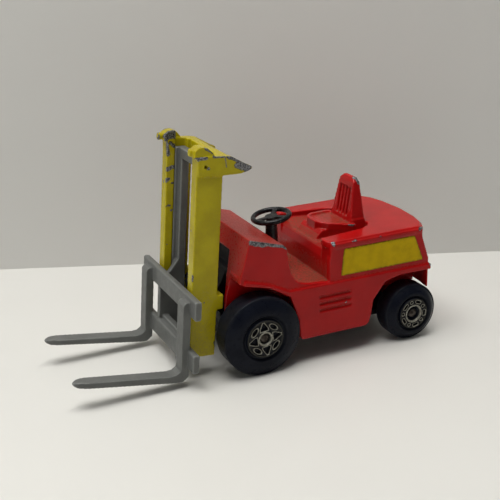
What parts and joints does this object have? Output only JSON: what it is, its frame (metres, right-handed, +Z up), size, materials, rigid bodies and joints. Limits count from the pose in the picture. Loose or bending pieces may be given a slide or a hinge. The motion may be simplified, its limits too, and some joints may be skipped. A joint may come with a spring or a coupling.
{
  "type": "toy fork lift truck",
  "caption": "Small die-cast toy fork lift truck with rolling wheels, a tilting mast and a fork carriage that slides up the mast.",
  "frame": {"origin": "on the ground, under the middle of the truck's length and width, at rest", "axes": "+X forward towards the fork tips, +Y the truck's left side, +Z up; wheels stand on z = 0"},
  "size_m": [0.0636, 0.0244, 0.0376],
  "materials": {
    "red_enamel": "gloss enamel on zinc, worn at the edges",
    "black_base": "black, semi-matt",
    "axle_steel": "drawn steel wire",
    "wheel_plastic": "satin black moulding, worn silver printing on the hub",
    "black_plastic": "satin",
    "yellow_enamel": "gloss enamel on zinc, chipped",
    "grey_plastic": "satin moulding",
    "label_paper": "plain yellow sticker"
  },
  "bodies": {
    "chassis": {"body_casting": "red_enamel", "base_casting": "black_base", "front_axle": "axle_steel", "rear_axle": "axle_steel", "steering_wheel": "black_plastic", "side_label_left": "label_paper", "side_label_right": "label_paper"},
    "front_left_wheel": {"front_wheel_left": "wheel_plastic"},
    "front_right_wheel": {"front_wheel_right": "wheel_plastic"},
    "rear_left_wheel": {"rear_wheel_left": "wheel_plastic"},
    "rear_right_wheel": {"rear_wheel_right": "wheel_plastic"},
    "mast": {"mast_frame": "yellow_enamel", "mast_pivot_pin": "axle_steel"},
    "forks": {"fork_carriage": "grey_plastic"}
  },
  "joints": [
    {"name": "front_left_spin", "type": "hinge", "parent": "chassis", "child": "front_left_wheel", "pos_m": [0.00131, 0.0093, 0.00665], "axis": [0, 1, 0], "continuous": true},
    {"name": "front_right_spin", "type": "hinge", "parent": "chassis", "child": "front_right_wheel", "pos_m": [0.00131, -0.0093, 0.00665], "axis": [0, 1, 0], "continuous": true},
    {"name": "rear_left_spin", "type": "hinge", "parent": "chassis", "child": "rear_left_wheel", "pos_m": [-0.02689, 0.009, 0.00495], "axis": [0, 1, 0], "continuous": true},
    {"name": "rear_right_spin", "type": "hinge", "parent": "chassis", "child": "rear_right_wheel", "pos_m": [-0.02689, -0.009, 0.00495], "axis": [0, 1, 0], "continuous": true},
    {"name": "mast_tilt", "type": "hinge", "parent": "chassis", "child": "mast", "pos_m": [0.00735, 0, 0.01247], "axis": [0, 1, 0], "range_deg": [-8, 5]},
    {"name": "fork_lift", "type": "slide", "parent": "mast", "child": "forks", "axis": [-0.0872, 0, 0.9962], "range_m": [0, 0.0205]}
  ]
}
